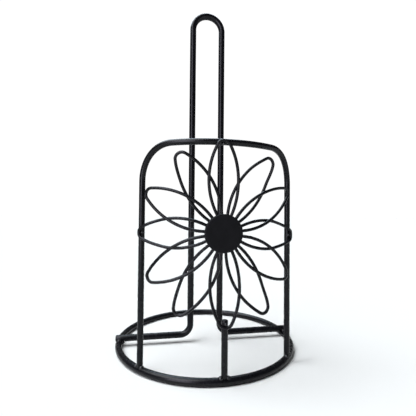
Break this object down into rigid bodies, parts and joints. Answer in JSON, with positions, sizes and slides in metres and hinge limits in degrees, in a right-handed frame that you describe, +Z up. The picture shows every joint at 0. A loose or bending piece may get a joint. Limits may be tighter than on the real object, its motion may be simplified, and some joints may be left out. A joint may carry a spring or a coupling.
{
  "type": "paper towel holder",
  "caption": "Free-standing black wire paper towel holder: round base hoop, tall hairpin post, and a bowed front guard with a wire flower.",
  "frame": {"origin": "centre of the base ring, at the height of the worktop that the ring stands on", "axes": "+Z up along the post; the guard and its flower face -Y; +X is on the right of someone who faces the flower"},
  "size_m": [0.14, 0.1415, 0.27],
  "materials": {
    "wire_paint": "satin",
    "disc_paint": "matte"
  },
  "bodies": {
    "root": {"base_ring": "wire_paint", "center_post": "wire_paint", "guard_arch": "wire_paint", "guard_stub": "wire_paint", "petal_01": "wire_paint", "petal_02": "wire_paint", "petal_03": "wire_paint", "petal_04": "wire_paint", "petal_05": "wire_paint", "petal_06": "wire_paint", "petal_07": "wire_paint", "petal_08": "wire_paint", "petal_09": "wire_paint", "petal_10": "wire_paint", "petal_11": "wire_paint", "petal_12": "wire_paint", "flower_disc": "disc_paint", "post_welds": "wire_paint", "guard_welds": "wire_paint", "petal_welds": "wire_paint", "hub_weld": "wire_paint"}
  },
  "joints": []
}
